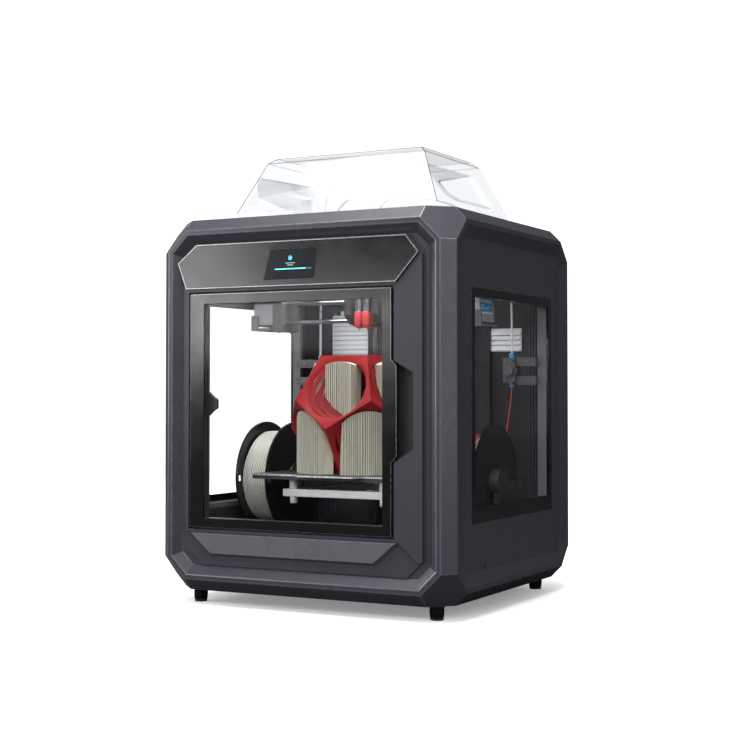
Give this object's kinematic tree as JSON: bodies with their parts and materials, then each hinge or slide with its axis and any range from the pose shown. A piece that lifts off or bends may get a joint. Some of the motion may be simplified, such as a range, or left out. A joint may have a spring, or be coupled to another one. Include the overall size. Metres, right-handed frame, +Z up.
{
  "type": "fdm printer",
  "caption": "Enclosed desktop filament printer: faceted casing, glass front door, lift-off clear hood, moving gantry and print head, lifting bed, side spools and feeders.",
  "frame": {"origin": "on the floor, under the middle of the casing's width and depth", "axes": "+Z up, the door and screen face -Y, +X to the right as seen from the front"},
  "size_m": [0.555, 0.525, 0.777],
  "materials": {
    "body_grey": "satin moulded, slate grey",
    "dark_plastic": "fine grain",
    "gloss_panel": "high gloss",
    "bright_trim": "bright",
    "display": "display glass",
    "tinted_glass": "clear, faint grey tint",
    "clear_cover": "clear moulded plastic",
    "pale_plastic": "satin, near white",
    "rocker": "gloss",
    "screw_steel": "satin",
    "circuit_parts": "mixed",
    "ground_steel": "ground and polished",
    "motor_black": "satin, ground end bells",
    "belt_pulleys": "turned",
    "carriage_black": "satin",
    "hot_end_metal": "machined",
    "red_silicone": "matt",
    "bed_metal": "cast and brushed",
    "plate_sheet": "coated top, bright edge",
    "print_red": "layered",
    "support_cream": "layered",
    "spool_black_cream": "moulded, cream winding",
    "spool_black_red": "moulded, red winding",
    "coupler_blue": "gloss",
    "gear_grey": "satin",
    "filament": "satin",
    "tube_white": "milky"
  },
  "bodies": {
    "casing": {"front_frame": "body_grey", "rear_frame": "body_grey", "top_frame": "body_grey", "base_pan": "dark_plastic", "side_panel_left": "body_grey", "side_panel_right": "body_grey", "side_windows": "tinted_glass", "front_panel": "body_grey", "control_panel_glass": "gloss_panel", "control_panel_trim": "bright_trim", "touchscreen": "display", "lower_front_cover": "body_grey", "door_catch": "dark_plastic", "feet": "gloss_panel", "rear_panel": "body_grey", "rear_vent_louvre": "pale_plastic", "fan_guard": "dark_plastic", "power_inlet": "dark_plastic", "casing_screws": "screw_steel", "chamber_floor": "dark_plastic", "electronics": "circuit_parts", "z_guide_rods": "ground_steel", "frame_motors": "motor_black", "y_rods": "ground_steel", "y_belts": "dark_plastic", "spool_holders": "dark_plastic", "feeder_housings": "carriage_black", "tube_couplers": "coupler_blue", "filament_strands": "filament", "tube_rear_spans": "tube_white"},
    "door": {"door_glass": "tinted_glass", "door_frame": "dark_plastic"},
    "hood": {"hood": "clear_cover"},
    "power_switch": {"power_switch": "rocker"},
    "exhaust_fan": {"exhaust_fan": "dark_plastic"},
    "z_screw": {"z_screw": "ground_steel"},
    "bed": {"build_plate": "plate_sheet", "heated_bed": "bed_metal", "bed_frame": "bed_metal", "bed_mounts": "screw_steel", "printed_part": "print_red", "print_supports": "support_cream"},
    "y_shaft": {"y_drive_shaft": "ground_steel"},
    "y_idler_left": {"y_idler_left": "belt_pulleys"},
    "y_idler_right": {"y_idler_right": "belt_pulleys"},
    "gantry": {"y_carriages": "carriage_black", "x_rods": "ground_steel", "x_motors": "motor_black", "x_belt": "dark_plastic"},
    "x_pulley_left": {"x_pulley_left": "belt_pulleys"},
    "x_pulley_right": {"x_pulley_right": "belt_pulleys"},
    "head": {"head_shell": "dark_plastic", "hot_ends": "hot_end_metal", "silicone_socks": "red_silicone", "tube_front_spans": "tube_white"},
    "head_fan": {"head_fan": "dark_plastic"},
    "spool_left": {"spool_left": "spool_black_cream"},
    "spool_right": {"spool_right": "spool_black_red"},
    "feeder_gear_left": {"feeder_gear_left": "gear_grey"},
    "feeder_gear_right": {"feeder_gear_right": "gear_grey"}
  },
  "joints": [
    {"name": "door_hinge", "type": "hinge", "parent": "casing", "child": "door", "pos_m": [-0.21, -0.2525, 0.329], "axis": [0, 0, -1], "range_deg": [0, 105]},
    {"name": "hood_lift", "type": "slide", "parent": "casing", "child": "hood", "axis": [0, 0, 1], "range_m": [0, 0.15]},
    {"name": "power_switch_tip", "type": "hinge", "parent": "casing", "child": "power_switch", "pos_m": [0.17, 0.247, 0.143], "axis": [-1, 0, 0], "range_deg": [0, 14]},
    {"name": "exhaust_fan_spin", "type": "hinge", "parent": "casing", "child": "exhaust_fan", "pos_m": [-0.12, 0.2445, 0.576], "axis": [0, 1, 0], "continuous": true},
    {"name": "z_screw_spin", "type": "hinge", "parent": "casing", "child": "z_screw", "pos_m": [0, 0.2, 0.3], "axis": [0, 0, 1], "continuous": true},
    {"name": "bed_lift", "type": "slide", "parent": "casing", "child": "bed", "axis": [0, 0, 1], "range_m": [0, 0.245], "deforming": ["printed_part", "print_supports"]},
    {"name": "y_shaft_spin", "type": "hinge", "parent": "casing", "child": "y_shaft", "pos_m": [0, 0.212, 0.575], "axis": [1, 0, 0], "continuous": true},
    {"name": "y_idler_left_spin", "type": "hinge", "parent": "casing", "child": "y_idler_left", "pos_m": [-0.236, -0.212, 0.575], "axis": [1, 0, 0], "continuous": true},
    {"name": "y_idler_right_spin", "type": "hinge", "parent": "casing", "child": "y_idler_right", "pos_m": [0.236, -0.212, 0.575], "axis": [1, 0, 0], "continuous": true},
    {"name": "gantry_slide", "type": "slide", "parent": "casing", "child": "gantry", "axis": [0, 1, 0], "range_m": [-0.11, 0.12], "deforming": ["tube_rear_spans"]},
    {"name": "x_pulley_left_spin", "type": "hinge", "parent": "gantry", "child": "x_pulley_left", "pos_m": [-0.207, 0.027, 0.501], "axis": [0, 1, 0], "continuous": true},
    {"name": "x_pulley_right_spin", "type": "hinge", "parent": "gantry", "child": "x_pulley_right", "pos_m": [0.207, 0.027, 0.501], "axis": [0, 1, 0], "continuous": true},
    {"name": "head_slide", "type": "slide", "parent": "gantry", "child": "head", "axis": [1, 0, 0], "range_m": [-0.13, 0.13], "deforming": ["tube_front_spans"]},
    {"name": "head_fan_spin", "type": "hinge", "parent": "head", "child": "head_fan", "pos_m": [0, 0.0097, 0.535], "axis": [0, 1, 0], "continuous": true},
    {"name": "spool_left_spin", "type": "hinge", "parent": "casing", "child": "spool_left", "pos_m": [-0.199, 0.008, 0.205], "axis": [1, 0, 0], "continuous": true},
    {"name": "spool_right_spin", "type": "hinge", "parent": "casing", "child": "spool_right", "pos_m": [0.199, 0.008, 0.205], "axis": [1, 0, 0], "continuous": true},
    {"name": "feeder_gear_left_spin", "type": "hinge", "parent": "casing", "child": "feeder_gear_left", "pos_m": [-0.2, 0.148, 0.399], "axis": [0, 1, 0], "continuous": true},
    {"name": "feeder_gear_right_spin", "type": "hinge", "parent": "casing", "child": "feeder_gear_right", "pos_m": [0.2, 0.148, 0.399], "axis": [0, 1, 0], "continuous": true}
  ],
  "couplings": [
    {"joint": "z_screw_spin", "follows": "bed_lift", "rad_per_m": -785.4},
    {"joint": "y_shaft_spin", "follows": "gantry_slide", "rad_per_m": 125},
    {"joint": "y_idler_left_spin", "follows": "gantry_slide", "rad_per_m": 125},
    {"joint": "y_idler_right_spin", "follows": "gantry_slide", "rad_per_m": 125},
    {"joint": "x_pulley_left_spin", "follows": "head_slide", "rad_per_m": 156.25},
    {"joint": "x_pulley_right_spin", "follows": "head_slide", "rad_per_m": 156.25},
    {"joint": "feeder_gear_left_spin", "follows": "spool_left_spin", "ratio": 8.6316},
    {"joint": "feeder_gear_right_spin", "follows": "spool_right_spin", "ratio": -8.6316}
  ]
}
